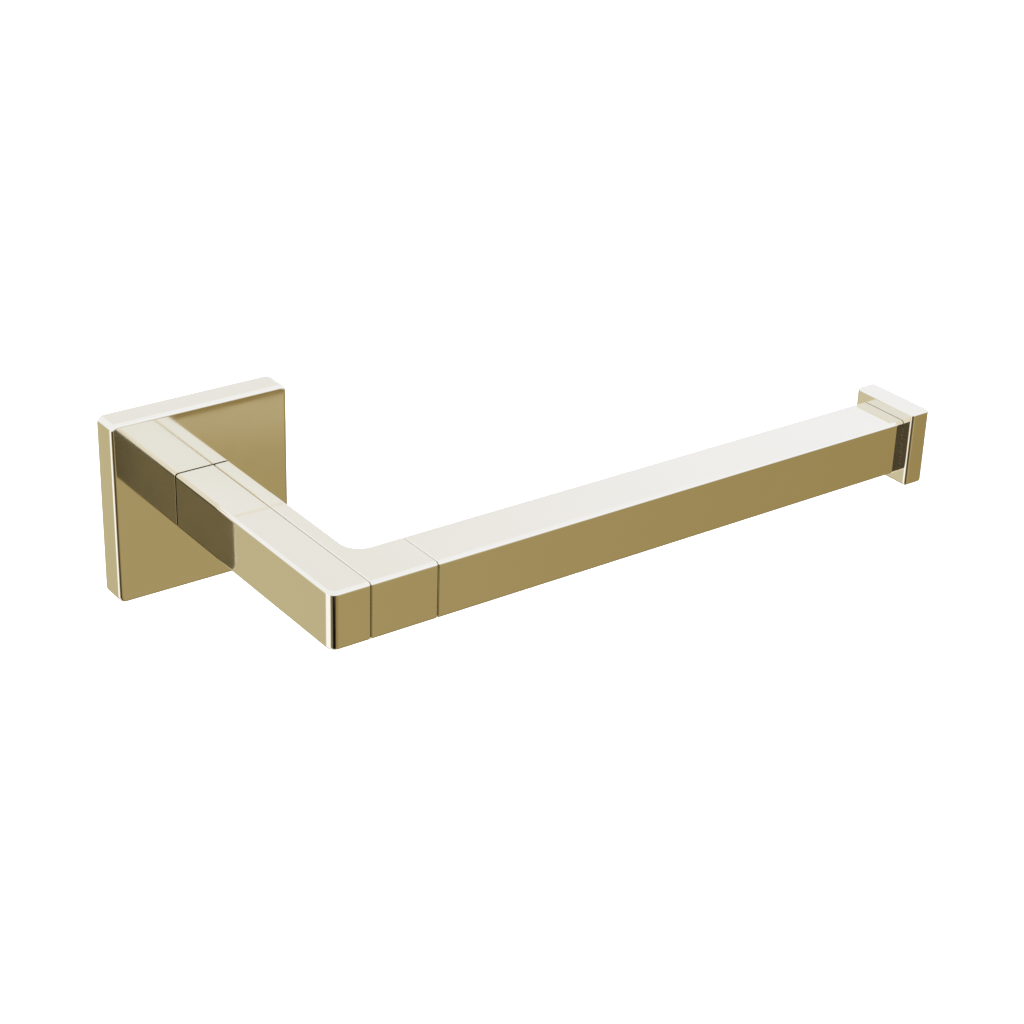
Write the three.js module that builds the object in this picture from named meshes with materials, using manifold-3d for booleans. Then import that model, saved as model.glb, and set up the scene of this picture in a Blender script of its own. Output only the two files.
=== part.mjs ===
// Wall-mounted toilet paper holder: a square backplate carries a rectangular post that stands out
// from the wall and turns through a two-piece elbow into a straight arm with a square end cap.
//
// Frame, in millimetres: the origin is the centre of the backplate's back, on the wall plane.
// +X runs along the arm, -Y points out from the wall into the room, and +Z is up.

import * as THREE from 'three';
import { mergeVertices } from 'three/addons/utils/BufferGeometryUtils.js';
import Module from 'manifold-3d';

// ---- driving dimensions ----

const GAP = 0.3; // clearance between pieces that touch
const PAST = 5; // how far a cutting shape runs past the face that it cuts

const PLATE = { width: 50, height: 50, depth: 7.7, corner: 1.1, edge: 1.0, wall: 2.4, front: 2.1 };
const BAR = { width: 15.8, height: 15.5, edge: 1.0, outerCorner: 2.5, innerCorner: 5.0 };
const REACH = 82.9; // wall to the front face of the arm
const POST_SEAM_X = 3.15; // lengthwise seam between the post bar and the elbow's leg
const ELBOW_END_X = 22; // seam across the arm
const CAP = { x: 174.8, thick: 6.3, depth: 21.9, height: 21.9, corner: 1.1, edge: 1.0 };

const BRACKET = { width: 43.8, height: 36, thick: 1.8, lip: 30, lipReach: 4.9 };
const HOOK_RIB = { inner: 8, outer: 14, back: -1.5 };
const SCREW_BOSS = { halfWidth: 4, top: -19.2, back: -1.0 };

const WALL_SCREW = { z: 10, radius: 2.0, headRadius: 4.0, head: 2.4, shankEnd: 20, tip: 24.5, slot: 4.6 };
const CROSS_RECESS = { halfLength: 2.2, halfWidth: 0.5, depth: 1.3 };
const WALL_PLUG = { radius: 3.0, front: 2.5, back: 22.5, slitFrom: 8, slit: 0.7 };
const SET_SCREW = { y: -3.6, radius: 1.5, bottom: -24.6, top: -18.3, socket: 0.87, socketDepth: 2.0 };

const POST_SCREW = { x: -2.6, radius: 2.5, headRadius: 4.6, head: 2.2, end: -19.5, socket: 1.6 };
const POST_WASHER = { radius: 4.6, thick: 0.5 };
const LEG_SCREW = { z: 3.8, radius: 1.25, headRadius: 2.25, head: 1.5, end: -17, socket: 0.85 };
const POST_DOWEL = { rearY: -27, frontY: -58, radius: 1.5, left: -2.5, right: 6.6 };
const ARM_SCREW = { radius: 3.0, headRadius: 5.0, head: 6.0, end: 38, socket: 2.7, socketDepth: 3 };
const ARM_DOWEL = { y: 5.6, z: 4.4, radius: 1.25, left: 18, right: 28 };
const CAP_PIN = { y: 4.0, radius: 2.0, left: 168.5, right: 178.7 };

const HOLE_END = 0.8; // a blind hole runs this far past the end of the pin or screw in it

// ---- derived places ----

const postLeft = -BAR.width / 2;
const postRight = BAR.width / 2;
const barTop = BAR.height / 2;
const armFront = -REACH;
const armBack = BAR.width - REACH;
const armMiddle = (armFront + armBack) / 2;
const postStart = -PLATE.depth - GAP;
const legMiddle = (POST_SEAM_X + GAP / 2 + postRight) / 2;
const cavityFront = PLATE.front - PLATE.depth;
const legSeat = cavityFront + GAP;
const postScrewSeat = cavityFront + GAP + POST_WASHER.thick + GAP;

// ---- solids ----

const wasm = await Module();
wasm.setup();

function toSolid(geometry) {
	const bare = geometry.clone();
	bare.deleteAttribute('normal');
	bare.deleteAttribute('uv');
	const merged = mergeVertices(bare);
	const corners = [];
	for (let i = 0; i < merged.index.count; i += 3) {
		const [a, b, c] = [0, 1, 2].map((k) => merged.index.getX(i + k));
		if (a !== b && b !== c && c !== a) corners.push(a, b, c);
	}
	return new wasm.Manifold(new wasm.Mesh({
		numProp: 3,
		vertProperties: merged.attributes.position.array,
		triVerts: Uint32Array.from(corners),
	}));
}

function toGeometry(solid) {
	const mesh = solid.getMesh();
	const geometry = new THREE.BufferGeometry();
	geometry.setAttribute('position', new THREE.BufferAttribute(mesh.vertProperties, 3));
	geometry.setIndex(new THREE.BufferAttribute(mesh.triVerts, 1));
	geometry.computeVertexNormals();
	return geometry;
}

// A box from its lowest and highest corner along each axis.
function block([x0, x1], [y0, y1], [z0, z1]) {
	const box = new THREE.BoxGeometry(x1 - x0, y1 - y0, z1 - z0);
	return toSolid(box.translate((x0 + x1) / 2, (y0 + y1) / 2, (z0 + z1) / 2));
}

// A round rod along one axis, from start to end; u and v place it on the other two axes in order.
function rod(axis, radius, [start, end], u, v, sides = 24) {
	const cylinder = new THREE.CylinderGeometry(radius, radius, end - start, sides);
	const middle = (start + end) / 2;
	if (axis === 'x') return toSolid(cylinder.rotateZ(-Math.PI / 2).translate(middle, u, v));
	if (axis === 'y') return toSolid(cylinder.translate(u, middle, v));
	return toSolid(cylinder.rotateX(Math.PI / 2).translate(u, v, middle));
}

// A six-sided socket for a hex key, cut along the same axes as rod.
function hexSocket(axis, acrossCorners, span, u, v) {
	return rod(axis, acrossCorners, span, u, v, 6);
}

// A solid of revolution about the Y axis, from [radius, y] pairs that start and end on the axis.
function turned(profile, x, z, sides = 24) {
	const points = profile.map(([radius, y]) => new THREE.Vector2(radius, y));
	return toSolid(new THREE.LatheGeometry(points, sides).translate(x, 0, z));
}

function roundedOutline(width, height, corner) {
	const [w, h] = [width / 2, height / 2];
	const outline = new THREE.Shape();
	outline.moveTo(corner - w, -h);
	outline.lineTo(w - corner, -h);
	outline.absarc(w - corner, corner - h, corner, -Math.PI / 2, 0);
	outline.lineTo(w, h - corner);
	outline.absarc(w - corner, h - corner, corner, 0, Math.PI / 2);
	outline.lineTo(corner - w, h);
	outline.absarc(corner - w, h - corner, corner, Math.PI / 2, Math.PI);
	outline.lineTo(-w, corner - h);
	outline.absarc(corner - w, corner - h, corner, Math.PI, 1.5 * Math.PI);
	return outline;
}

// An outline extruded along +Z from 0 to depth, with both ends rounded over by edge.
function roundedExtrusion(outline, depth, edge, curveSegments = 4) {
	const shape = new THREE.ExtrudeGeometry(outline, {
		depth: depth - 2 * edge,
		bevelEnabled: true,
		bevelThickness: edge,
		bevelSize: edge,
		bevelOffset: -edge,
		bevelSegments: 3,
		curveSegments,
	});
	return shape.translate(0, 0, edge);
}

// A slot with round ends through the bracket, centred on x = 0.
function slot(width, lengthX, lengthZ, z) {
	const span = [-BRACKET.thick - PAST, PAST];
	const runX = (lengthX - width) / 2;
	const runZ = (lengthZ - width) / 2;
	const ends = rod('y', width / 2, span, -runX, z - runZ).add(rod('y', width / 2, span, runX, z + runZ));
	const halfX = Math.max(runX, width / 2 * Math.sign(runZ));
	const halfZ = Math.max(runZ, width / 2 * Math.sign(runX));
	return ends.add(block([-halfX, halfX], span, [z - halfZ, z + halfZ]));
}

// ---- wall side ----

function makeWallBracket() {
	const halfHeight = BRACKET.height / 2;
	const lipX = [-BRACKET.lip / 2, BRACKET.lip / 2];
	const lipY = [-BRACKET.lipReach, 0];
	const webX = [-BRACKET.width / 2, BRACKET.width / 2];
	return block(webX, [-BRACKET.thick, 0], [-halfHeight, halfHeight])
		.add(block(lipX, lipY, [halfHeight - BRACKET.thick, halfHeight]))
		.add(block(lipX, lipY, [-halfHeight, BRACKET.thick - halfHeight]))
		.subtract(slot(WALL_SCREW.slot, 10, WALL_SCREW.slot, WALL_SCREW.z))
		.subtract(slot(WALL_SCREW.slot, WALL_SCREW.slot, 8, -WALL_SCREW.z));
}

function makeWallScrew(z) {
	const { radius, headRadius, head, shankEnd, tip } = WALL_SCREW;
	const seat = -BRACKET.thick - GAP;
	const top = seat - head;
	const profile = [
		[0, top], [headRadius * 0.55, top + 0.15], [headRadius * 0.88, top + 0.8], [headRadius, seat - 0.5],
		[headRadius, seat], [radius, seat], [radius, shankEnd], [0, tip],
	];
	const { halfLength, halfWidth, depth } = CROSS_RECESS;
	const recess = [top - 1, top + depth];
	return turned(profile, 0, z)
		.subtract(block([-halfLength, halfLength], recess, [z - halfWidth, z + halfWidth]))
		.subtract(block([-halfWidth, halfWidth], recess, [z - halfLength, z + halfLength]));
}

function makeWallPlug(z) {
	const { radius, front, back, slitFrom, slit } = WALL_PLUG;
	const bore = WALL_SCREW.radius + GAP;
	return rod('y', radius, [front, back], 0, z)
		.subtract(rod('y', bore, [front - PAST, back + PAST], 0, z))
		.subtract(block([-2 * radius, 2 * radius], [slitFrom, back + PAST], [z - slit / 2, z + slit / 2]));
}

// ---- backplate and what fixes it ----

function makeBackplate() {
	const { width, height, depth, corner, edge, wall, front } = PLATE;
	const shell = roundedExtrusion(roundedOutline(width, height, corner), depth + PAST, edge);
	shell.rotateX(-Math.PI / 2).translate(0, -depth, 0);
	const halfX = width / 2 - wall;
	const halfZ = height / 2 - wall;
	const ribY = [cavityFront - front / 2, HOOK_RIB.back];
	const ribZ = [BRACKET.height / 2 + GAP, halfZ + wall / 2];
	const bossY = [cavityFront - front / 2, SCREW_BOSS.back];
	const bossZ = [-halfZ - wall / 2, SCREW_BOSS.top];
	let plate = toSolid(shell)
		.subtract(block([-width, width], [0, 2 * PAST], [-height, height]))
		.subtract(block([-halfX, halfX], [cavityFront, PAST], [-halfZ, halfZ]))
		.add(block([HOOK_RIB.inner, HOOK_RIB.outer], ribY, ribZ))
		.add(block([-HOOK_RIB.outer, -HOOK_RIB.inner], ribY, ribZ))
		.add(block([-SCREW_BOSS.halfWidth, SCREW_BOSS.halfWidth], bossY, bossZ))
		.subtract(rod('z', SET_SCREW.radius + GAP, [-height, SCREW_BOSS.top + 1], 0, SET_SCREW.y));
	const through = [-depth - PAST, cavityFront + 1];
	plate = plate.subtract(rod('y', POST_SCREW.radius + GAP, through, POST_SCREW.x, 0));
	for (const z of [LEG_SCREW.z, -LEG_SCREW.z]) {
		plate = plate.subtract(rod('y', LEG_SCREW.radius + GAP, through, legMiddle, z));
	}
	return plate;
}

function makeSetScrew() {
	const { y, radius, bottom, top, socket, socketDepth } = SET_SCREW;
	return rod('z', radius, [bottom, top], 0, y)
		.subtract(hexSocket('z', socket, [bottom - 1, bottom + socketDepth], 0, y));
}

// A button-head screw along Y whose head sits at seat and whose shank ends at end.
function buttonScrew({ radius, headRadius, head, end, socket }, seat, x, z) {
	const top = seat + head;
	const profile = [
		[0, end], [radius, end], [radius, seat], [headRadius, seat],
		[headRadius, seat + 0.3 * head], [headRadius * 0.8, seat + 0.8 * head],
		[headRadius * 0.55, top], [0, top],
	];
	return turned(profile, x, z).subtract(hexSocket('y', socket, [seat + 0.4 * head, top + 1], x, z));
}

function makePostScrew() {
	return buttonScrew(POST_SCREW, postScrewSeat, POST_SCREW.x, 0);
}

function makePostWasher() {
	const start = cavityFront + GAP;
	const bore = POST_SCREW.radius + GAP;
	return rod('y', POST_WASHER.radius, [start, start + POST_WASHER.thick], POST_SCREW.x, 0)
		.subtract(rod('y', bore, [start - 1, start + 1 + POST_WASHER.thick], POST_SCREW.x, 0));
}

// ---- post, elbow and arm ----

// The whole bar in one piece, from the backplate round the corner and past the end of the arm. It is
// cut at the seams afterwards, so only its outside edges are rounded.
function makeBarBlank() {
	const { outerCorner, innerCorner, edge, height } = BAR;
	const armEnd = CAP.x + PAST;
	const outline = new THREE.Shape();
	outline.moveTo(postRight, 0);
	outline.lineTo(postLeft, 0);
	outline.lineTo(postLeft, armFront + outerCorner);
	outline.absarc(postLeft + outerCorner, armFront + outerCorner, outerCorner, Math.PI, 1.5 * Math.PI);
	outline.lineTo(armEnd, armFront);
	outline.lineTo(armEnd, armBack);
	outline.lineTo(postRight + innerCorner, armBack);
	outline.absarc(postRight + innerCorner, armBack + innerCorner, innerCorner, 1.5 * Math.PI, Math.PI, true);
	return toSolid(roundedExtrusion(outline, height, edge, 8).translate(0, 0, -height / 2));
}

const barBlank = makeBarBlank();

function cutFromBar([x0, x1]) {
	const y = [armFront - PAST, postStart];
	return barBlank.intersect(block([x0, x1], y, [-BAR.height, BAR.height]));
}

// The upper dowel sits towards the wall and the lower one towards the room.
function armDowelPlace(side) {
	return [armMiddle + side * ARM_DOWEL.y, side * ARM_DOWEL.z];
}

function makePostBar() {
	const screwHole = [POST_SCREW.end - HOLE_END, postStart + 1];
	const dowelHole = [POST_DOWEL.left - HOLE_END, POST_SEAM_X + 1];
	let bar = cutFromBar([postLeft - PAST, POST_SEAM_X - GAP / 2])
		.subtract(rod('y', POST_SCREW.radius + GAP, screwHole, POST_SCREW.x, 0));
	for (const y of [POST_DOWEL.rearY, POST_DOWEL.frontY]) {
		bar = bar.subtract(rod('x', POST_DOWEL.radius + GAP, dowelHole, y, 0));
	}
	return bar;
}

function makeElbow() {
	let elbow = cutFromBar([POST_SEAM_X + GAP / 2, ELBOW_END_X - GAP / 2]);
	const headBore = [POST_SEAM_X - 1, POST_SEAM_X + GAP / 2 + GAP + ARM_SCREW.head + GAP];
	elbow = elbow
		.subtract(rod('x', ARM_SCREW.headRadius + GAP, headBore, armMiddle, 0))
		.subtract(rod('x', ARM_SCREW.radius + GAP, [POST_SEAM_X, ELBOW_END_X + 1], armMiddle, 0));
	const dowelHole = [ARM_DOWEL.left - HOLE_END, ELBOW_END_X + 1];
	const legHole = [LEG_SCREW.end - HOLE_END, postStart + 1];
	for (const side of [1, -1]) {
		const [y, z] = armDowelPlace(side);
		elbow = elbow
			.subtract(rod('x', ARM_DOWEL.radius + GAP, dowelHole, y, z))
			.subtract(rod('y', LEG_SCREW.radius + GAP, legHole, legMiddle, side * LEG_SCREW.z));
	}
	const postDowelHole = [POST_SEAM_X - 1, POST_DOWEL.right + GAP];
	for (const y of [POST_DOWEL.rearY, POST_DOWEL.frontY]) {
		elbow = elbow.subtract(rod('x', POST_DOWEL.radius + GAP, postDowelHole, y, 0));
	}
	return elbow;
}

function makeArmBar() {
	const screwHole = [ELBOW_END_X - 1, ARM_SCREW.end + HOLE_END];
	const dowelHole = [ELBOW_END_X - 1, ARM_DOWEL.right + HOLE_END];
	const pinHole = [CAP_PIN.left - HOLE_END, CAP.x + 1];
	let arm = cutFromBar([ELBOW_END_X + GAP / 2, CAP.x - GAP])
		.subtract(rod('x', ARM_SCREW.radius + GAP, screwHole, armMiddle, 0));
	for (const side of [1, -1]) {
		const [y, z] = armDowelPlace(side);
		arm = arm
			.subtract(rod('x', ARM_DOWEL.radius + GAP, dowelHole, y, z))
			.subtract(rod('x', CAP_PIN.radius + GAP, pinHole, armMiddle + side * CAP_PIN.y, 0));
	}
	return arm;
}

function makeArmScrew() {
	const headStart = POST_SEAM_X + GAP / 2 + GAP;
	const headEnd = headStart + ARM_SCREW.head;
	const socket = [headStart - 1, headStart + ARM_SCREW.socketDepth];
	return rod('x', ARM_SCREW.headRadius, [headStart, headEnd], armMiddle, 0)
		.add(rod('x', ARM_SCREW.radius, [headEnd - 1, ARM_SCREW.end], armMiddle, 0))
		.subtract(hexSocket('x', ARM_SCREW.socket, socket, armMiddle, 0));
}

function makeEndCap() {
	const { x, thick, depth, height, corner, edge } = CAP;
	const blank = roundedExtrusion(roundedOutline(height, depth, corner), thick, edge);
	let cap = toSolid(blank.rotateY(Math.PI / 2).translate(x, armMiddle, 0));
	for (const side of [1, -1]) {
		const pinHole = [x - 1, CAP_PIN.right + 0.5];
		cap = cap.subtract(rod('x', CAP_PIN.radius + GAP, pinHole, armMiddle + side * CAP_PIN.y, 0));
	}
	return cap;
}

// ---- the assembly ----

const FINISHES = {
	polishedPlating: { color: 0xd9cfae, roughness: 0.08, metalness: 1 },
	zincSteel: { color: 0xb9bcbe, roughness: 0.38, metalness: 1 },
	stainless: { color: 0xc4c4c0, roughness: 0.28, metalness: 1 },
	blackSteel: { color: 0x2c2b2a, roughness: 0.45, metalness: 1 },
	plugPlastic: { color: 0xa9adb0, roughness: 0.55, metalness: 0 },
};

const holder = new THREE.Group();

function addPiece(name, finish, solid) {
	const piece = new THREE.Mesh(toGeometry(solid), new THREE.MeshStandardMaterial(FINISHES[finish]));
	piece.name = name;
	holder.add(piece);
}

addPiece('wall_bracket', 'zincSteel', makeWallBracket());
addPiece('wall_screw_upper', 'zincSteel', makeWallScrew(WALL_SCREW.z));
addPiece('wall_screw_lower', 'zincSteel', makeWallScrew(-WALL_SCREW.z));
addPiece('wall_plug_upper', 'plugPlastic', makeWallPlug(WALL_SCREW.z));
addPiece('wall_plug_lower', 'plugPlastic', makeWallPlug(-WALL_SCREW.z));

addPiece('backplate', 'polishedPlating', makeBackplate());
addPiece('set_screw', 'blackSteel', makeSetScrew());
addPiece('post_screw', 'blackSteel', makePostScrew());
addPiece('post_washer', 'stainless', makePostWasher());
addPiece('leg_screw_upper', 'blackSteel', buttonScrew(LEG_SCREW, legSeat, legMiddle, LEG_SCREW.z));
addPiece('leg_screw_lower', 'blackSteel', buttonScrew(LEG_SCREW, legSeat, legMiddle, -LEG_SCREW.z));

addPiece('post_bar', 'polishedPlating', makePostBar());
addPiece('elbow', 'polishedPlating', makeElbow());
addPiece('arm_bar', 'polishedPlating', makeArmBar());
addPiece('end_cap', 'polishedPlating', makeEndCap());

const postDowelSpan = [POST_DOWEL.left, POST_DOWEL.right];
addPiece('post_dowel_rear', 'stainless', rod('x', POST_DOWEL.radius, postDowelSpan, POST_DOWEL.rearY, 0));
addPiece('post_dowel_front', 'stainless', rod('x', POST_DOWEL.radius, postDowelSpan, POST_DOWEL.frontY, 0));
addPiece('arm_screw', 'blackSteel', makeArmScrew());
const armDowelSpan = [ARM_DOWEL.left, ARM_DOWEL.right];
for (const [name, side] of [['upper', 1], ['lower', -1]]) {
	const dowel = rod('x', ARM_DOWEL.radius, armDowelSpan, ...armDowelPlace(side));
	addPiece(`arm_dowel_${name}`, 'stainless', dowel);
}
const capPinSpan = [CAP_PIN.left, CAP_PIN.right];
for (const [name, side] of [['rear', 1], ['front', -1]]) {
	const y = armMiddle + side * CAP_PIN.y;
	addPiece(`cap_pin_${name}`, 'stainless', rod('x', CAP_PIN.radius, capPinSpan, y, 0));
}

export default holder;
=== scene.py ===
# Looks of the wall-mounted toilet paper holder: finely rounded, mirror-polished pieces over the packed
# model, its mounting hardware, the camera, and a studio with a white floor and backdrop. Lengths are in
# metres; MM turns millimetres into metres.

import math

import bmesh
import bpy
from mathutils import Matrix, Vector


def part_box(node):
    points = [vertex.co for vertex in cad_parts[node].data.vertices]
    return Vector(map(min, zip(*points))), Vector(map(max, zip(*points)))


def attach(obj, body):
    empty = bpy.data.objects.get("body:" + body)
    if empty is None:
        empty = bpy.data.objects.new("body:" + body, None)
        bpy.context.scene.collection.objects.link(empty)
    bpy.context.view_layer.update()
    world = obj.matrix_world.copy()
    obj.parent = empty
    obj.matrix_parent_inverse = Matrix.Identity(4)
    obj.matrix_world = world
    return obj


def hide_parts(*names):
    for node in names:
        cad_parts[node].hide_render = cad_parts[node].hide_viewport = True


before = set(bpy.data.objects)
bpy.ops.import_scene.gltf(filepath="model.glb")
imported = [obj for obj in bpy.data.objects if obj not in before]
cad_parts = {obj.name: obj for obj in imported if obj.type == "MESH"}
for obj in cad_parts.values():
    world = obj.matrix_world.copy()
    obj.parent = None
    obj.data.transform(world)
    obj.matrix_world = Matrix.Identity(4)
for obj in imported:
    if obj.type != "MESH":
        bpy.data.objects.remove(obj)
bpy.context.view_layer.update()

MM = 0.001

# ---- sizes that the CAD boxes don't give ----

BAR_EDGE = 1.0 * MM  # rounding along the bar's long edges
POST_CORNER = 2.5 * MM  # rounding of the post's outer front corner
ELBOW_CORNER = 5.0 * MM  # rounding of the inside corner
SEAM_EDGE = 0.35 * MM  # rounding of the edges that meet at a seam
SEAM_REACH = 0.09 * MM  # how far a bar piece runs past its CAD solid towards a seam
CAP_REACH = 2 * SEAM_REACH  # how far the arm runs past its CAD solid towards the cap
TIGHT_EDGE = 0.1 * MM  # rounding of the bar's ends against the backplate and the cap
PLATE_EDGE = 1.0 * MM  # rounding round the plate's front
PLATE_CORNER = 2.0 * MM  # rounding of the plate's four outline corners
PLATE_BACK_EDGE = 0.2 * MM
PLATE_WALL = 2.4 * MM  # thickness of the plate's rim
CAP_EDGE = 1.0 * MM
RIB_CLEARANCE = 0.3 * MM  # between the ribs and the bracket's upper lip
WASHER_CLEARANCE = 0.3 * MM  # between the washer and the plate's front wall
THREAD_ROOM = 0.12 * MM  # between a thread's crest and its hole
PIN_ROOM = 0.1 * MM  # between a pin and its hole
HOLE_END = 0.8 * MM  # a blind hole runs this far past what lies in it
PAST = 5 * MM  # how far a cutter runs past the face that it cuts
ROUND_STEPS = 8  # faces across a rounded edge
SEAM_STEPS = 4
BACK_STEPS = 2  # faces across the small rounded edges at the wall
POST_STEPS = 12
ELBOW_STEPS = 14
ROUND_SIDES = 64  # faces round a turned piece
BEVEL_ANGLE = math.radians(30)  # an edge that turns more than this is rounded
SHARP_ANGLE = math.radians(34)  # an edge that turns more than this is shaded as sharp
FACE_WEIGHT = 100  # lets the large flat faces decide the shading at a rounded edge

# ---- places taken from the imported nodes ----


def node_box(name):
    low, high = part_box(name)
    return Vector(low), Vector(high)


def middle(name):
    low, high = node_box(name)
    return (low + high) / 2


PLATE_LOW, PLATE_HIGH = node_box("backplate")
POST_LOW, POST_HIGH = node_box("post_bar")
ELBOW_LOW, ELBOW_HIGH = node_box("elbow")
ARM_LOW, ARM_HIGH = node_box("arm_bar")
CAP_LOW, CAP_HIGH = node_box("end_cap")
POST_RIGHT = -POST_LOW.x
PLATE_FLOOR = node_box("post_washer")[0].y - WASHER_CLEARANCE  # inner side of the plate's front wall

# ---- screws, and the ribs and boss inside the backplate ----

POST_SHANK = 2.5 * MM
LEG_SHANK = 1.25 * MM
ARM_SHANK = 3.0 * MM
ARM_HEAD = 5.0 * MM  # radius, as the shanks above
ARM_HEAD_LENGTH = 6.0 * MM
RIB_OUTER = 14 * MM  # from the middle to a rib's outer side
RIB_WIDTH = 6 * MM
RIB_BACK = -1.5 * MM
BOSS_HALF = 4 * MM
BOSS_BACK = -1.0 * MM
BOSS_SHORT = 0.9 * MM  # how far the boss stops below the set screw's tip

# ---- mesh helpers ----


def outline_arc(centre, radius, start, end, steps=ROUND_STEPS):
    """Points along an arc, its two ends included; angles in degrees."""
    angles = [math.radians(start + (end - start) * i / steps) for i in range(steps + 1)]
    return [Vector((centre[0] + radius * math.cos(a), centre[1] + radius * math.sin(a))) for a in angles]


def rounded_rectangle(low, high, radius):
    """Outline of a rectangle with round corners, anticlockwise, from its lowest and highest corner."""
    corners = [
        ((high[0] - radius, low[1] + radius), -90),
        ((high[0] - radius, high[1] - radius), 0),
        ((low[0] + radius, high[1] - radius), 90),
        ((low[0] + radius, low[1] + radius), 180),
    ]
    return [p for centre, start in corners for p in outline_arc(centre, radius, start, start + 90)]


def prism(outline, start, end):
    """A closed prism: the outline lies in XY and runs along Z from start to end."""
    bm = bmesh.new()
    low = [bm.verts.new((x, y, start)) for x, y in outline]
    high = [bm.verts.new((x, y, end)) for x, y in outline]
    count = len(outline)
    bm.faces.new(list(reversed(low)))
    bm.faces.new(high)
    for i in range(count):
        j = (i + 1) % count
        bm.faces.new((low[i], low[j], high[j], high[i]))
    bmesh.ops.recalc_face_normals(bm, faces=bm.faces)
    return bm


def box_mesh(low, high):
    outline = [(low[0], low[1]), (high[0], low[1]), (high[0], high[1]), (low[0], high[1])]
    return prism(outline, low[2], high[2])


def near(a, b, tolerance=1e-6):
    return abs(a - b) < tolerance


def in_plane(edge, planes):
    """Whether an edge lies in one of the planes, each given as (axis index, place)."""
    a, b = (vert.co for vert in edge.verts)
    return any(near(a[axis], place) and near(b[axis], place) for axis, place in planes)


def round_edges(bm, planes, radius, inside=True, steps=ROUND_STEPS):
    """Rounds the sharp edges that lie in the planes, or all the others if inside is False."""
    edges = [e for e in bm.edges if e.calc_face_angle(0) > BEVEL_ANGLE and in_plane(e, planes) == inside]
    bmesh.ops.bevel(
        bm, geom=edges, offset=radius, offset_type="OFFSET", segments=steps, profile=0.5,
        affect="EDGES", clamp_overlap=True,
    )


def turned(rings, sides=ROUND_SIDES, thread=None):
    """A solid of revolution about Y from (y, radius) rings.

    A thread, if any, is given as (pitch, depth, start, end).
    """
    if thread:
        rings = add_thread_rings(rings, thread)
    bm = bmesh.new()
    rows = []
    for y, radius in rings:
        row = []
        for i in range(sides):
            turn = i / sides
            r = radius - thread_depth(y, turn, thread)
            row.append(bm.verts.new((r * math.cos(math.tau * turn), y, r * math.sin(math.tau * turn))))
        rows.append(row)
    for lower, upper in zip(rows, rows[1:]):
        for i in range(sides):
            j = (i + 1) % sides
            bm.faces.new((lower[i], lower[j], upper[j], upper[i]))
    bm.faces.new(rows[0])
    bm.faces.new(rows[-1])
    bmesh.ops.recalc_face_normals(bm, faces=bm.faces)
    return bm


def add_thread_rings(rings, thread, rings_per_turn=10):
    """Splits the stretch that carries the thread into enough rings to show it."""
    pitch, _, start, end = thread
    result = []
    for (y0, r0), (y1, r1) in zip(rings, rings[1:]):
        result.append((y0, r0))
        low, high = max(min(y0, y1), start), min(max(y0, y1), end)
        if high - low < pitch:
            continue
        count = math.ceil((high - low) / pitch * rings_per_turn)
        for i in range(1, count):
            y = low + (high - low) * i / count
            if y1 < y0:
                y = low + high - y
            result.append((y, r0 + (r1 - r0) * (y - y0) / (y1 - y0)))
    result.append(rings[-1])
    return result


def thread_depth(y, turn, thread):
    """How far the surface lies below the crest at this place on a thread."""
    if not thread:
        return 0.0
    pitch, depth, start, end = thread
    if not start < y < end:
        return 0.0
    fade = min(1.0, (y - start) / pitch, (end - y) / pitch)
    phase = (y / pitch + turn) % 1.0
    return depth * fade * abs(2 * phase - 1)


def tube_ring(profile, sides=ROUND_SIDES):
    """A ring about Y from a closed outline of (y, radius) points."""
    bm = bmesh.new()
    rows = []
    for i in range(sides):
        angle = math.tau * i / sides
        rows.append([bm.verts.new((r * math.cos(angle), y, r * math.sin(angle))) for y, r in profile])
    for i in range(sides):
        a, b = rows[i], rows[(i + 1) % sides]
        for k in range(len(profile)):
            m = (k + 1) % len(profile)
            bm.faces.new((a[k], a[m], b[m], b[k]))
    bmesh.ops.recalc_face_normals(bm, faces=bm.faces)
    return bm


def quarter_angles(steps):
    """The angles of a quarter turn in radians, its two ends included."""
    return [math.radians(90 * i / steps) for i in range(steps + 1)]


def rod_mesh(radius, start, end, chamfer=0.0, sides=ROUND_SIDES):
    """A round rod along Y, with optional chamfers."""
    if not chamfer:
        return turned([(start, radius), (end, radius)], sides)
    rings = [
        (start, radius - chamfer), (start + chamfer, radius),
        (end - chamfer, radius), (end, radius - chamfer),
    ]
    return turned(rings, sides)


AXIS_TURNS = {
    "x": Matrix.Rotation(-math.pi / 2, 4, "Z"),
    "y": Matrix.Identity(4),
    "z": Matrix.Rotation(math.pi / 2, 4, "X"),
}
SWAP_Y_Z = Matrix(((1, 0, 0, 0), (0, 0, 1, 0), (0, 1, 0, 0), (0, 0, 0, 1)))
X_TO_Y_TO_Z = Matrix(((0, 0, 1, 0), (1, 0, 0, 0), (0, 1, 0, 0), (0, 0, 0, 1)))


def along(axis, bm, at=(0, 0, 0)):
    """Turns a mesh made along Y on to another axis and moves it."""
    bm.transform(Matrix.Translation(at) @ AXIS_TURNS[axis])
    return bm


def to_object(name, bm):
    mesh = bpy.data.meshes.new(name)
    bm.to_mesh(mesh)
    bm.free()
    obj = bpy.data.objects.new(name, mesh)
    bpy.context.scene.collection.objects.link(obj)
    return obj


def apply_modifiers(obj):
    graph = bpy.context.evaluated_depsgraph_get()
    mesh = bpy.data.meshes.new_from_object(obj.evaluated_get(graph))
    old = obj.data
    obj.modifiers.clear()
    obj.data = mesh
    bpy.data.meshes.remove(old)


def combine(obj, tools, operation):
    """Joins or cuts obj with each tool mesh in turn."""
    for bm in tools:
        tool = to_object("tool", bm)
        modifier = obj.modifiers.new("combine", "BOOLEAN")
        modifier.operation = operation
        modifier.solver = "EXACT"
        modifier.object = tool
        apply_modifiers(obj)
        bpy.data.objects.remove(tool)


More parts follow.
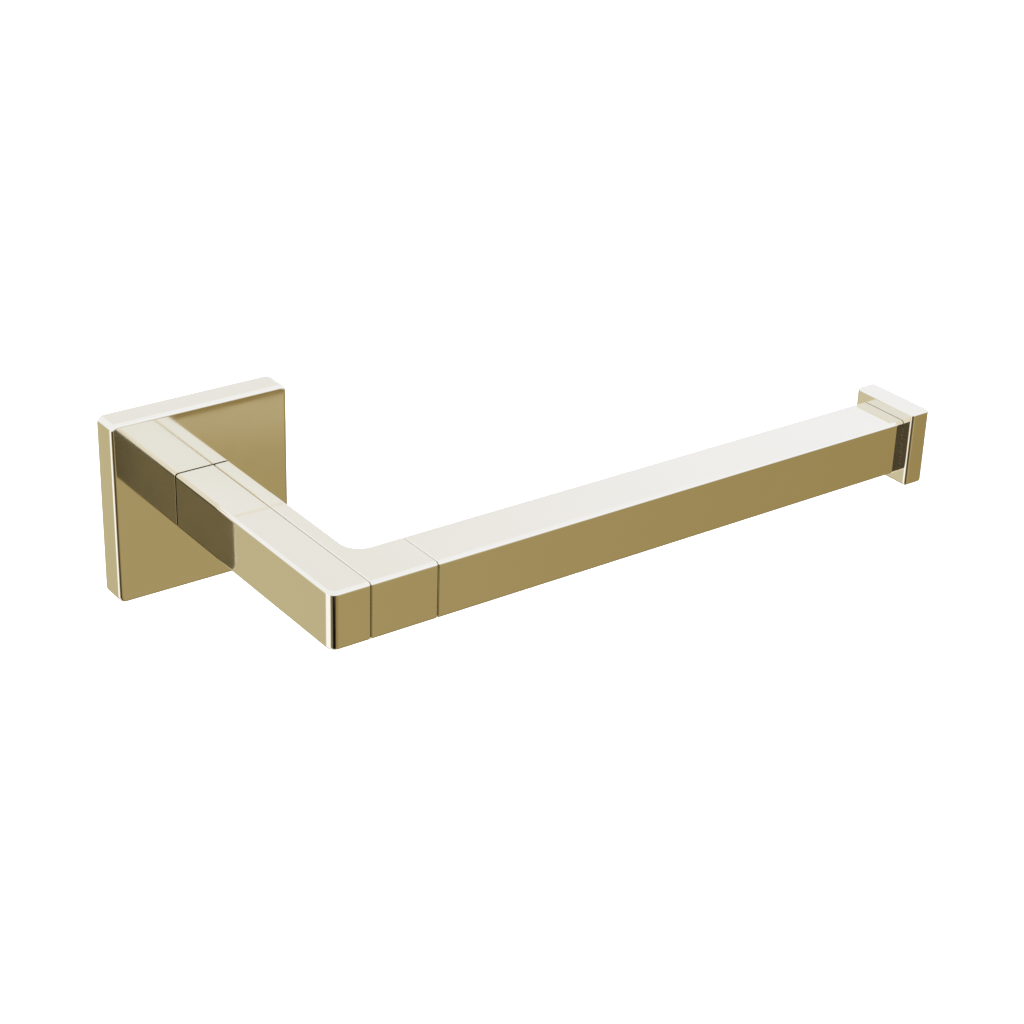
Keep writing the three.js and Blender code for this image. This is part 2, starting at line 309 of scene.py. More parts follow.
def cut(obj, *tools):
    combine(obj, tools, "DIFFERENCE")


def join(obj, *tools):
    combine(obj, tools, "UNION")


def smooth(obj):
    """Smooth shading that keeps flat faces flat and the sharpest edges sharp."""
    mesh = obj.data
    mesh.name = obj.name
    mesh.shade_smooth()
    mesh.set_sharp_from_angle(angle=SHARP_ANGLE)
    modifier = obj.modifiers.new("normals", "WEIGHTED_NORMAL")
    modifier.mode = "FACE_AREA"
    modifier.weight = FACE_WEIGHT
    modifier.keep_sharp = True
    apply_modifiers(obj)


def place(obj, material, body, slot):
    """Gives a finished piece smooth shading, its material and its body, and hides the CAD node that it
    stands for.
    """
    smooth(obj)
    obj.data.materials.clear()
    obj.data.materials.append(material)
    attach(obj, body)
    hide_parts(obj.name.removesuffix("_fine"))


# ---- materials ----


def new_material(name):
    material = bpy.data.materials.new(name)
    material.use_nodes = True
    nodes = material.node_tree.nodes
    shader = nodes["Principled BSDF"]
    return material, nodes, material.node_tree.links, shader


def add_noise(nodes, links, scale, detail, stretch=(1, 1, 1)):
    """Noise over the piece's own coordinates, scale in cycles per metre."""
    coordinates = nodes.new("ShaderNodeTexCoord")
    mapping = nodes.new("ShaderNodeMapping")
    mapping.inputs["Scale"].default_value = stretch
    noise = nodes.new("ShaderNodeTexNoise")
    noise.inputs["Scale"].default_value = scale
    noise.inputs["Detail"].default_value = detail
    links.new(coordinates.outputs["Object"], mapping.inputs["Vector"])
    links.new(mapping.outputs["Vector"], noise.inputs["Vector"])
    return noise.outputs["Fac"]


NOISE_LOW = 0.3  # nearly all of the noise lies between these two
NOISE_HIGH = 0.7


def add_range(nodes, links, value, low, high):
    """Maps a noise value on to low..high."""
    mapped = nodes.new("ShaderNodeMapRange")
    mapped.inputs["From Min"].default_value = NOISE_LOW
    mapped.inputs["From Max"].default_value = NOISE_HIGH
    mapped.inputs["To Min"].default_value = low
    mapped.inputs["To Max"].default_value = high
    links.new(value, mapped.inputs["Value"])
    return mapped.outputs["Result"]


def add_colour_mix(nodes, links, value, first, second):
    mix = nodes.new("ShaderNodeMix")
    mix.data_type = "RGBA"
    mix.inputs["A"].default_value = (*first, 1)
    mix.inputs["B"].default_value = (*second, 1)
    links.new(value, mix.inputs["Factor"])
    return mix.outputs["Result"]


def add_bump(nodes, links, shader, height, distance):
    bump = nodes.new("ShaderNodeBump")
    bump.inputs["Distance"].default_value = distance
    bump.inputs["Strength"].default_value = 1.0
    links.new(height, bump.inputs["Height"])
    links.new(bump.outputs["Normal"], shader.inputs["Normal"])


# Each finish varies between its two colours.
PLATED_COLOUR = (0.875, 0.805, 0.635)
PLATED_COLOUR_DEEP = (0.865, 0.795, 0.62)
ZINC_COLOUR = (0.60, 0.62, 0.64)
ZINC_COLOUR_WARM = (0.70, 0.70, 0.67)
STAINLESS_COLOUR = (0.62, 0.62, 0.60)
STAINLESS_COLOUR_BRIGHT = (0.74, 0.74, 0.72)
BLACK_COLOUR = (0.035, 0.034, 0.034)
BLACK_COLOUR_WORN = (0.075, 0.072, 0.07)
BLACK_METALLIC = 0.85  # the oxide and its oil hide part of the metal
NYLON_COLOUR = (0.37, 0.39, 0.41)
NYLON_COLOUR_PALE = (0.43, 0.45, 0.47)


def make_plated():
    """Mirror-polished warm plating with a faint cloudiness in the polish."""
    material, nodes, links, shader = new_material("plated_body")
    shader.inputs["Metallic"].default_value = 1.0
    tint = add_range(nodes, links, add_noise(nodes, links, scale=45, detail=3), low=0, high=1)
    colour = add_colour_mix(nodes, links, tint, PLATED_COLOUR, PLATED_COLOUR_DEEP)
    links.new(colour, shader.inputs["Base Color"])
    haze = add_noise(nodes, links, scale=160, detail=6)
    links.new(add_range(nodes, links, haze, low=0.05, high=0.08), shader.inputs["Roughness"])
    return material


def make_zinc():
    """Zinc-plated steel: cool grey with cloudy passivation and a fine grain."""
    material, nodes, links, shader = new_material("zinc_steel")
    shader.inputs["Metallic"].default_value = 1.0
    cloud = add_range(nodes, links, add_noise(nodes, links, scale=220, detail=5), low=0, high=1)
    colour = add_colour_mix(nodes, links, cloud, ZINC_COLOUR, ZINC_COLOUR_WARM)
    links.new(colour, shader.inputs["Base Color"])
    grain = add_noise(nodes, links, scale=2600, detail=3)
    links.new(add_range(nodes, links, grain, low=0.24, high=0.42), shader.inputs["Roughness"])
    add_bump(nodes, links, shader, grain, distance=0.008 * MM)
    return material


def make_stainless():
    """Ground stainless steel with fine marks round the pins."""
    material, nodes, links, shader = new_material("stainless_steel")
    shader.inputs["Metallic"].default_value = 1.0
    grind = add_noise(nodes, links, scale=500, detail=4, stretch=(8, 1, 1))
    colour = add_colour_mix(nodes, links, grind, STAINLESS_COLOUR, STAINLESS_COLOUR_BRIGHT)
    links.new(colour, shader.inputs["Base Color"])
    links.new(add_range(nodes, links, grind, low=0.18, high=0.34), shader.inputs["Roughness"])
    add_bump(nodes, links, shader, grind, distance=0.004 * MM)
    return material


def make_black_steel():
    """Black oxide on steel, lightly oiled."""
    material, nodes, links, shader = new_material("black_steel")
    shader.inputs["Metallic"].default_value = BLACK_METALLIC
    patch = add_noise(nodes, links, scale=700, detail=5)
    colour = add_colour_mix(nodes, links, patch, BLACK_COLOUR, BLACK_COLOUR_WORN)
    links.new(colour, shader.inputs["Base Color"])
    links.new(add_range(nodes, links, patch, low=0.3, high=0.5), shader.inputs["Roughness"])
    add_bump(nodes, links, shader, patch, distance=0.006 * MM)
    return material


def make_nylon():
    """Moulded grey nylon with a fine matt skin."""
    material, nodes, links, shader = new_material("plug_nylon")
    skin = add_noise(nodes, links, scale=1800, detail=3)
    colour = add_colour_mix(nodes, links, skin, NYLON_COLOUR, NYLON_COLOUR_PALE)
    links.new(colour, shader.inputs["Base Color"])
    links.new(add_range(nodes, links, skin, low=0.42, high=0.58), shader.inputs["Roughness"])
    add_bump(nodes, links, shader, skin, distance=0.01 * MM)
    return material


PLATED = make_plated()
ZINC = make_zinc()
STAINLESS = make_stainless()
BLACK_STEEL = make_black_steel()
NYLON = make_nylon()

# ---- plated pieces ----


def hole(node, axis, radius, start, end):
    """A cutter for a round hole along one axis, in line with a node."""
    centre = middle(node)
    centre["xyz".index(axis)] = 0
    return along(axis, rod_mesh(radius, start, end), centre)


def pin_hole(node, mouth):
    """A cutter for the blind hole that a pin along X lies in, open at the mouth."""
    low, high = node_box(node)
    start = min(mouth, low.x - HOLE_END) if mouth > low.x else mouth
    end = mouth if mouth > low.x else high.x + HOLE_END
    return hole(node, "x", (high.y - low.y) / 2 + PIN_ROOM, start, end)


def make_backplate():
    outline = rounded_rectangle((PLATE_LOW.x, PLATE_LOW.z), (PLATE_HIGH.x, PLATE_HIGH.z), PLATE_CORNER)
    bm = prism(outline, PLATE_LOW.y, PLATE_HIGH.y)
    bm.transform(SWAP_Y_Z)
    bmesh.ops.recalc_face_normals(bm, faces=bm.faces)
    back = [(1, PLATE_HIGH.y)]
    round_edges(bm, back, PLATE_EDGE, inside=False)
    round_edges(bm, back, PLATE_BACK_EDGE, steps=BACK_STEPS)
    plate = to_object("backplate_fine", bm)

    bracket_high = node_box("wall_bracket")[1]
    screw_low, screw_high = node_box("set_screw")
    cavity = to_object("cavity", box_mesh(
        (PLATE_LOW.x + PLATE_WALL, PLATE_FLOOR, PLATE_LOW.z + PLATE_WALL),
        (PLATE_HIGH.x - PLATE_WALL, PAST, PLATE_HIGH.z - PLATE_WALL),
    ))
    rib_foot = bracket_high.z + RIB_CLEARANCE
    ribs = [
        box_mesh((x, PLATE_FLOOR - MM, rib_foot), (x + RIB_WIDTH, RIB_BACK, PLATE_HIGH.z))
        for x in (-RIB_OUTER, RIB_OUTER - RIB_WIDTH)
    ]
    boss_top = screw_high.z - BOSS_SHORT
    boss = box_mesh((-BOSS_HALF, PLATE_FLOOR - MM, PLATE_LOW.z), (BOSS_HALF, BOSS_BACK, boss_top))
    cut(cavity, *ribs, boss)
    tool = bmesh.new()
    tool.from_mesh(cavity.data)
    bpy.data.objects.remove(cavity)
    through = (PLATE_LOW.y - PAST, PLATE_FLOOR + MM)
    set_screw_radius = (screw_high.x - screw_low.x) / 2
    cut(
        plate,
        tool,
        hole("post_screw", "y", POST_SHANK + THREAD_ROOM, *through),
        hole("leg_screw_upper", "y", LEG_SHANK + THREAD_ROOM, *through),
        hole("leg_screw_lower", "y", LEG_SHANK + THREAD_ROOM, *through),
        hole("set_screw", "z", set_screw_radius + THREAD_ROOM, PLATE_LOW.z - PAST, screw_high.z),
    )
    place(plate, PLATED, "holder", "plated_body")


def round_bar_piece(bm, seams, tight_seams=()):
    """Rounds a piece of the bar: its long edges fully, those at its seams a little, at tight ones least."""
    round_edges(bm, [*seams, *tight_seams], BAR_EDGE, inside=False)
    round_edges(bm, seams, SEAM_EDGE, steps=SEAM_STEPS)
    if tight_seams:
        round_edges(bm, tight_seams, TIGHT_EDGE, steps=SEAM_STEPS)
    return bm


def make_post_bar():
    low, high = POST_LOW.copy(), POST_HIGH + Vector((SEAM_REACH, 0, 0))
    corner = outline_arc((low.x + POST_CORNER, low.y + POST_CORNER), POST_CORNER, 180, 270, POST_STEPS)
    outline = [(low.x, high.y), *corner, (high.x, low.y), (high.x, high.y)]
    block = prism(outline, low.z, high.z)
    bar = to_object("post_bar_fine", round_bar_piece(block, [(0, high.x)], [(1, high.y)]))
    cut(
        bar,
        hole("post_screw", "y", POST_SHANK + THREAD_ROOM, node_box("post_screw")[0].y - HOLE_END, 0),
        *(pin_hole(name, high.x + MM) for name in ("post_dowel_rear", "post_dowel_front")),
    )
    place(bar, PLATED, "holder", "plated_body")


def make_elbow():
    front, back = ARM_LOW.y, ARM_HIGH.y
    low, high = ELBOW_LOW - Vector((SEAM_REACH, 0, 0)), ELBOW_HIGH + Vector((SEAM_REACH, 0, 0))
    centre = (POST_RIGHT + ELBOW_CORNER, back + ELBOW_CORNER)
    inner = outline_arc(centre, ELBOW_CORNER, 270, 180, ELBOW_STEPS)
    outline = [
        (low.x, front), (high.x, front), (high.x, back), *inner, (POST_RIGHT, high.y), (low.x, high.y),
    ]
    block = prism(outline, low.z, high.z)
    elbow = to_object("elbow_fine", round_bar_piece(block, [(0, low.x), (0, high.x)], [(1, high.y)]))
    screw_low = node_box("arm_screw")[0]
    head_end = screw_low.x + ARM_HEAD_LENGTH + PIN_ROOM
    cut(
        elbow,
        hole("arm_screw", "x", ARM_HEAD + THREAD_ROOM, low.x - MM, head_end),
        hole("arm_screw", "x", ARM_SHANK + THREAD_ROOM, screw_low.x, high.x + MM),
        *(pin_hole(name, high.x + MM) for name in ("arm_dowel_upper", "arm_dowel_lower")),
        *(pin_hole(name, low.x - MM) for name in ("post_dowel_rear", "post_dowel_front")),
        *(
            hole(name, "y", LEG_SHANK + THREAD_ROOM, node_box(name)[0].y - HOLE_END, 0)
            for name in ("leg_screw_upper", "leg_screw_lower")
        ),
    )
    place(elbow, PLATED, "holder", "plated_body")


def make_arm_bar():
    low, high = ARM_LOW - Vector((SEAM_REACH, 0, 0)), ARM_HIGH + Vector((CAP_REACH, 0, 0))
    arm = to_object("arm_bar_fine", round_bar_piece(box_mesh(low, high), [(0, low.x)], [(0, high.x)]))
    screw_end = node_box("arm_screw")[1].x
    cut(
        arm,
        hole("arm_screw", "x", ARM_SHANK + THREAD_ROOM, low.x - MM, screw_end + HOLE_END),
        *(pin_hole(name, low.x - MM) for name in ("arm_dowel_upper", "arm_dowel_lower")),
        *(pin_hole(name, high.x + MM) for name in ("cap_pin_rear", "cap_pin_front")),
    )
    place(arm, PLATED, "holder", "plated_body")


def make_end_cap():
    bm = box_mesh(CAP_LOW, CAP_HIGH)
    round_edges(bm, [], CAP_EDGE, inside=False)
    cap = to_object("end_cap_fine", bm)
    cut(cap, *(pin_hole(name, CAP_LOW.x - MM) for name in ("cap_pin_rear", "cap_pin_front")))
    place(cap, PLATED, "holder", "plated_body")


make_backplate()
make_post_bar()
make_elbow()
make_arm_bar()
make_end_cap()

# ---- pins, screws and wall hardware ----

HOLDER_PINS = (
    "post_dowel_rear", "post_dowel_front",
    "arm_dowel_upper", "arm_dowel_lower",
    "cap_pin_rear", "cap_pin_front",
)
PIN_CHAMFER = 0.3 * MM
THREAD_DEPTH = 0.55  # share of the pitch
HEAD_CHAMFER = 0.15 * MM  # at the rim under a screw's head

BUTTON_TIP = 0.35 * MM  # chamfer at the tip of a button-head screw
BUTTON_NECK = 0.4 * MM  # plain shank under the head
BUTTON_RIM = 0.35  # straight share of the head's height
BUTTON_FLAT = 0.5  # flat share of the head's radius
BUTTON_SOCKET = 0.36  # the socket's corner radius, as a share of the head's radius
BUTTON_STEPS = 6
POST_HEAD_HEIGHT = 2.2 * MM
POST_PITCH = 0.8 * MM
LEG_HEAD_HEIGHT = 1.5 * MM
LEG_PITCH = 0.45 * MM

ARM_HEAD_CHAMFER = 0.4 * MM
ARM_NECK = 4 * MM  # plain shank under the head
ARM_TIP = 0.6 * MM  # chamfer at the tip
ARM_PITCH = 1.0 * MM
ARM_SOCKET = 2.85 * MM  # the socket's corner radius
ARM_SOCKET_DEPTH = 3 * MM

SET_MOUTH = 0.82  # radius of the socket end's face, as a share of the screw's radius
SET_MOUTH_LENGTH = 0.3 * MM
SET_TIP = 0.6  # radius of the tip's face, as a share of the screw's radius
SET_TIP_LENGTH = 0.6 * MM
SET_PITCH = 0.5 * MM
SET_THREAD_DEPTH = 0.27 * MM
SET_SOCKET = 0.87 * MM  # the socket's corner radius
SET_SOCKET_DEPTH = 2 * MM

WASHER_INNER = 2.65 * MM
WASHER_EDGE = 0.1 * MM

WALL_SHANK = 2.0 * MM
WALL_NECK = 3 * MM  # plain shank under the head
WALL_TAPER = 4.5 * MM  # length of the point
WALL_TIP = 0.2 * MM  # length of the blunt end of the point
WALL_TIP_RADIUS = 0.25 * MM
WALL_END_RADIUS = 0.06 * MM
WALL_PITCH = 1.8 * MM
WALL_THREAD_DEPTH = 0.62 * MM
WALL_THREAD_END = 3.4 * MM  # from the thread's end to the tip
PAN_HEIGHT = 2.4 * MM
PAN_DOME = 0.75  # domed share of the head's height
PAN_TOP = 0.35  # radius at which the dome starts, as a share of the head's radius
PAN_FLAT = 0.3  # flat share of the head's radius
PAN_STEPS = 9
CROSS_REACH = 2.1 * MM  # from the middle to the end of a slot of the cross
CROSS_HALF = 0.42 * MM  # half the width of a slot
CROSS_DEPTH = 1.4 * MM

PLUG_OUTER = 3.0 * MM
PLUG_ROOT = 2.72 * MM  # radius between the ribs
PLUG_BORE = 2.15 * MM
PLUG_MOUTH = 0.1 * MM  # how much wider the bore is at its mouth
PLUG_COLLAR = 1.2 * MM  # length of the plain collar
PLUG_COLLAR_END = 1.5 * MM
PLUG_FIRST_RIB = 2.5 * MM
PLUG_LAST_RIB = 1.5 * MM  # the ribs stop this far before the end
PLUG_RIB = 1.5 * MM  # length of a rib
PLUG_RIB_STEP = 1.35  # from rib to rib, in rib lengths
PLUG_RIB_RISE = 0.15  # share of a rib's length on which it rises
PLUG_RIB_TOP = 0.4  # share of its length at which it falls again
PLUG_NOSE = 0.8 * MM  # length of the tapered end
PLUG_NOSE_DROP = 0.35 * MM
SLIT_START = 5.5 * MM
SLIT_HALF = 0.35 * MM

BRACKET_SHEET = 1.8 * MM
BRACKET_LIP = 30.0 * MM  # length of the bent lips
BRACKET_BEND = 0.6 * MM  # inner radius of the bends
BRACKET_CORNER = 2 * MM
BRACKET_EDGE = 0.2 * MM
WING_SHORT = 0.4 * MM  # how far the wings stop short of the bends
SLOT_WIDTH = 4.6 * MM
UPPER_SLOT = 10 * MM  # length, lying along X
LOWER_SLOT = 8 * MM  # length, standing along Z
SLOT_STEPS = 12


def make_pin(node):
    low, high = node_box(node)
    rod = rod_mesh((high.y - low.y) / 2, low.x, high.x, PIN_CHAMFER)
    pin = to_object(f"{node}_fine", along("x", rod, (0, middle(node).y, middle(node).z)))
    place(pin, STAINLESS, "holder", "stainless_steel")


def hex_tool(axis, corner_radius, start, end, at):
    return along(axis, rod_mesh(corner_radius, start, end, sides=6), at)


def make_button_screw(node, shank, head_height, pitch):
    """A button-head screw whose head faces the wall."""
    low, high = node_box(node)
    centre = Vector((middle(node).x, 0, middle(node).z))
    head = (high.x - low.x) / 2
    seat = high.y - head_height
    rim = seat + BUTTON_RIM * head_height
    rings = [
        (low.y, shank - BUTTON_TIP), (low.y + BUTTON_TIP, shank), (seat - BUTTON_NECK / 2, shank),
        (seat, shank), (seat, head - HEAD_CHAMFER), (seat + HEAD_CHAMFER, head), (rim, head),
    ]
    for angle in quarter_angles(BUTTON_STEPS)[1:]:
        height = head_height * (BUTTON_RIM + (1 - BUTTON_RIM) * math.sin(angle))
        rings.append((seat + height, head * (BUTTON_FLAT + (1 - BUTTON_FLAT) * math.cos(angle))))
    thread = (pitch, THREAD_DEPTH * pitch, low.y, seat - BUTTON_NECK)
    screw = to_object(f"{node}_fine", along("y", turned(rings, thread=thread), centre))
    cut(screw, hex_tool("y", BUTTON_SOCKET * head, rim, high.y + MM, centre))
    place(screw, BLACK_STEEL, "holder", "black_steel")


def make_arm_screw():
    """A socket-head screw along the arm, its head at the elbow's left face."""
    low, high = node_box("arm_screw")
    at = (0, middle("arm_screw").y, middle("arm_screw").z)
    head_end = low.x + ARM_HEAD_LENGTH
    neck_end = head_end + ARM_NECK
    rings = [
        (low.x, ARM_HEAD - ARM_HEAD_CHAMFER), (low.x + ARM_HEAD_CHAMFER, ARM_HEAD),
        (head_end, ARM_HEAD), (head_end, ARM_SHANK), (neck_end, ARM_SHANK),
        (high.x - ARM_TIP, ARM_SHANK), (high.x, ARM_SHANK - ARM_TIP),
    ]
    thread = (ARM_PITCH, THREAD_DEPTH * ARM_PITCH, neck_end, high.x + MM)
    screw = to_object("arm_screw_fine", along("x", turned(rings, thread=thread), at))
    cut(screw, hex_tool("x", ARM_SOCKET, low.x - MM, low.x + ARM_SOCKET_DEPTH, at))
    place(screw, BLACK_STEEL, "holder", "black_steel")


def make_set_screw():
    """A headless screw with its socket below and its point up towards the bracket's lower lip."""
    low, high = node_box("set_screw")
    at = (middle("set_screw").x, middle("set_screw").y, 0)
    radius = (high.x - low.x) / 2
    rings = [
        (low.z, SET_MOUTH * radius), (low.z + SET_MOUTH_LENGTH, radius),
        (high.z - SET_TIP_LENGTH, radius), (high.z, SET_TIP * radius),
    ]
    thread = (SET_PITCH, SET_THREAD_DEPTH, low.z - SET_MOUTH_LENGTH, high.z)
    screw = to_object("set_screw_fine", along("z", turned(rings, thread=thread), at))
    cut(screw, hex_tool("z", SET_SOCKET, low.z - MM, low.z + SET_SOCKET_DEPTH, at))
    place(screw, BLACK_STEEL, "set_screw", "black_steel")


def make_washer():
    low, high = node_box("post_washer")
    centre = Vector((middle("post_washer").x, 0, middle("post_washer").z))
    outer, inner, edge = (high.x - low.x) / 2, WASHER_INNER, WASHER_EDGE
    profile = [
        (low.y, inner + edge), (low.y, outer - edge), (low.y + edge, outer), (high.y - edge, outer),
        (high.y, outer - edge), (high.y, inner + edge), (high.y - edge, inner), (low.y + edge, inner),
    ]
    washer = to_object("post_washer_fine", along("y", tube_ring(profile), centre))
    place(washer, STAINLESS, "holder", "stainless_steel")


def make_wall_screw(node):
    """A pan-head screw with a cross recess and a coarse thread that fades out on its point."""
    low, high = node_box(node)
    centre = Vector((middle(node).x, 0, middle(node).z))
    head = (high.x - low.x) / 2
    seat = low.y + PAN_HEIGHT
    rings = [(low.y, PAN_FLAT * head)]
    for angle in quarter_angles(PAN_STEPS)[1:]:
        y = low.y + PAN_HEIGHT * PAN_DOME * (1 - math.cos(angle))
        rings.append((y, head * (PAN_TOP + (1 - PAN_TOP) * math.sin(angle))))
    rings += [
        (seat - HEAD_CHAMFER, head), (seat, head - HEAD_CHAMFER), (seat, WALL_SHANK),
        (seat + WALL_NECK, WALL_SHANK), (high.y - WALL_TAPER, WALL_SHANK),
        (high.y - WALL_TIP, WALL_TIP_RADIUS), (high.y, WALL_END_RADIUS),
    ]
    thread = (WALL_PITCH, WALL_THREAD_DEPTH, seat + WALL_NECK, high.y - WALL_THREAD_END)
    screw = to_object(f"{node}_fine", along("y", turned(rings, thread=thread), centre))
    for x_half, z_half in ((CROSS_REACH, CROSS_HALF), (CROSS_HALF, CROSS_REACH)):
        cut(screw, box_mesh(
            (-x_half, low.y - MM, centre.z - z_half), (x_half, low.y + CROSS_DEPTH, centre.z + z_half),
        ))
    place(screw, ZINC, "wall_side", "zinc_steel")


def make_wall_plug(node):
    """A ribbed nylon plug, slit along most of its length."""
    low, high = node_box(node)
    centre = Vector((middle(node).x, 0, middle(node).z))
    profile = [
        (low.y, PLUG_BORE + PLUG_MOUTH), (low.y, PLUG_OUTER),
        (low.y + PLUG_COLLAR, PLUG_OUTER), (low.y + PLUG_COLLAR_END, PLUG_ROOT),
    ]
    y = low.y + PLUG_FIRST_RIB
    while y + PLUG_RIB < high.y - PLUG_LAST_RIB:
        profile += [
            (y, PLUG_ROOT), (y + PLUG_RIB_RISE * PLUG_RIB, PLUG_OUTER),
            (y + PLUG_RIB_TOP * PLUG_RIB, PLUG_OUTER), (y + PLUG_RIB, PLUG_ROOT),
        ]
        y += PLUG_RIB_STEP * PLUG_RIB
    profile += [
        (high.y - PLUG_NOSE, PLUG_ROOT), (high.y, PLUG_ROOT - PLUG_NOSE_DROP), (high.y, PLUG_BORE),
    ]
    plug = to_object(f"{node}_fine", along("y", tube_ring(profile), centre))
    cut(plug, box_mesh(
        (-2 * PLUG_OUTER, low.y + SLIT_START, centre.z - SLIT_HALF),
        (2 * PLUG_OUTER, high.y + MM, centre.z + SLIT_HALF),
    ))
    place(plug, NYLON, "wall_side", "plug_nylon")


def slot_tool(length, z, across):
    """A cutter for a slot with round ends through the bracket."""
    radius = SLOT_WIDTH / 2
    half = (length - SLOT_WIDTH) / 2
    right = outline_arc((half, 0), radius, -90, 90, SLOT_STEPS)
    left = outline_arc((-half, 0), radius, 90, 270, SLOT_STEPS)
    bm = prism(right + left, -PAST, 2 * PAST)
    if not across:
        bm.transform(Matrix.Rotation(math.pi / 2, 4, "Z"))
    bm.transform(Matrix.Translation((0, 0, z)) @ Matrix.Rotation(math.pi / 2, 4, "X"))
    return bm


def make_wall_bracket():
    """A stamped steel plate whose two lips are bent forward."""
    low, high = node_box("wall_bracket")
    sheet = BRACKET_SHEET
    bend_out = BRACKET_BEND + sheet
    reach, top = low.y, high.z
    # Side view of web and lips: horizontal is Y, vertical is Z.
    upper = outline_arc((-bend_out, top - bend_out), bend_out, 0, 90)
    upper_in = outline_arc((-bend_out, top - bend_out), BRACKET_BEND, 90, 0)
    half = [*upper, Vector((reach, top)), Vector((reach, top - sheet)), *upper_in]
    mirrored = [Vector((p.x, -p.y)) for p in reversed(half)]
    bm = prism(half + mirrored, -BRACKET_LIP / 2, BRACKET_LIP / 2)
    bm.transform(X_TO_Y_TO_Z)
    bmesh.ops.recalc_face_normals(bm, faces=bm.faces)
    bracket = to_object("wall_bracket_fine", bm)
    wing_height = top - bend_out - WING_SHORT
    wings = prism(rounded_rectangle((low.x, -wing_height), (high.x, wing_height), BRACKET_CORNER), 0, sheet)
    round_edges(wings, [(2, 0), (2, sheet)], BRACKET_EDGE, steps=BACK_STEPS)
    wings.transform(Matrix.Rotation(math.pi / 2, 4, "X"))
    join(bracket, wings)
    cut(
        bracket,
        slot_tool(UPPER_SLOT, middle("wall_screw_upper").z, True),
        slot_tool(LOWER_SLOT, middle("wall_screw_lower").z, False),
    )
    place(bracket, ZINC, "wall_side", "zinc_steel")


for pin in HOLDER_PINS:
    make_pin(pin)
make_button_screw("post_screw", POST_SHANK, POST_HEAD_HEIGHT, POST_PITCH)
make_button_screw("leg_screw_upper", LEG_SHANK, LEG_HEAD_HEIGHT, LEG_PITCH)
make_button_screw("leg_screw_lower", LEG_SHANK, LEG_HEAD_HEIGHT, LEG_PITCH)
make_arm_screw()
make_set_screw()
make_washer()
for side in ("upper", "lower"):
    make_wall_screw(f"wall_screw_{side}")
    make_wall_plug(f"wall_plug_{side}")
make_wall_bracket()

# ---- camera ----

AZIMUTH = math.radians(-36.458)
ELEVATION = math.radians(26.683)
ROLL = math.radians(1.919)
DISTANCE = 0.54067
LENS = 78.27  # this and the sensor's width are in millimetres, as the camera's settings want them
SENSOR_WIDTH = 36
CLIP_NEAR = 0.01
CLIP_FAR = 50
AIM = Vector((46.769 * MM, -77.8 * MM, 12.197 * MM))


def make_camera():
    back = Vector((
        math.sin(AZIMUTH) * math.cos(ELEVATION),
        -math.cos(AZIMUTH) * math.cos(ELEVATION),
        math.sin(ELEVATION),
    ))
    camera = bpy.data.objects.new("camera", bpy.data.cameras.new("camera"))
    camera.data.lens = LENS
    camera.data.sensor_width = SENSOR_WIDTH
    camera.data.clip_start = CLIP_NEAR
    camera.data.clip_end = CLIP_FAR
    camera.location = AIM + back * DISTANCE
    turn = (-back).to_track_quat("-Z", "Y").to_matrix()
    camera.rotation_euler = (turn @ Matrix.Rotation(ROLL, 3, "Z")).to_euler()
    bpy.context.scene.collection.objects.link(camera)
    bpy.context.scene.camera = camera


make_camera()

# ---- studio ----


def add_math(nodes, links, operation, first, second=0):
    node = nodes.new("ShaderNodeMath")
    node.operation = operation
    for socket, value in zip(node.inputs, (first, second)):
        if isinstance(value, (int, float)):
            socket.default_value = value
        else:
            links.new(value, socket)
    return node.outputs["Value"]


def add_step(nodes, links, value, start, end):
    """0 below start, 1 above end, smooth between them; start may be the larger one."""
    step = nodes.new("ShaderNodeMapRange")
    step.interpolation_type = "SMOOTHSTEP"
    low, high = sorted((start, end))
    step.inputs["From Min"].default_value = low
    step.inputs["From Max"].default_value = high
    step.inputs["To Min"].default_value = 0 if start < end else 1
    step.inputs["To Max"].default_value = 1 if start < end else 0
    links.new(value, step.inputs["Value"])
    return step.outputs["Result"]


def add_layer(nodes, links, under, colour, mask):
    """Paints a colour over what lies under it, where the mask is 1."""
    mix = nodes.new("ShaderNodeMix")
    mix.data_type = "RGBA"
    links.new(mask, mix.inputs["Factor"])
    if isinstance(under, tuple):
        mix.inputs["A"].default_value = (*under, 1)
    else:
        links.new(under, mix.inputs["A"])
    if isinstance(colour, tuple):
        mix.inputs["B"].default_value = (*colour, 1)
    else:
        links.new(colour, mix.inputs["B"])
    return mix.outputs["Result"]


# Light from each direction. Azimuth is in degrees from straight out of the wall (-Y), positive towards
# the arm's free end; elevation is in degrees above the level.
BEHIND_LEFT = (0.575, 0.53, 0.365)
PALE_LEFT = (0.66, 0.635, 0.51)
WINDOW = (1.1, 1.15, 1.3)
WARM_GAP = (0.27, 0.21, 0.12)
BROWN = (0.079, 0.075, 0.058)
DARK = (0.004, 0.004, 0.004)
DARK_CORE = (0.192, 0.173, 0.116)
CARD_EDGE = (0.33, 0.257, 0.12)
CARD_FRONT = (0.43, 0.357, 0.19)
CARD_FRONT_FAR = (0.365, 0.29, 0.13)
CARD_TOP = (0.53, 0.467, 0.30)
BEHIND_RIGHT = (0.34, 0.28, 0.15)
CEILING_LEFT = (0.98, 1.12, 1.54)
CEILING_FRONT = (1.02, 1.16, 1.64)
CEILING_FRONT_HIGH = (1.075, 1.233, 1.83)
CEILING_BACK = (0.918, 0.96, 1.11)
CEILING_BACK_RIGHT = (0.992, 1.059, 1.292)
ZENITH = (1.0, 1.075, 1.31)

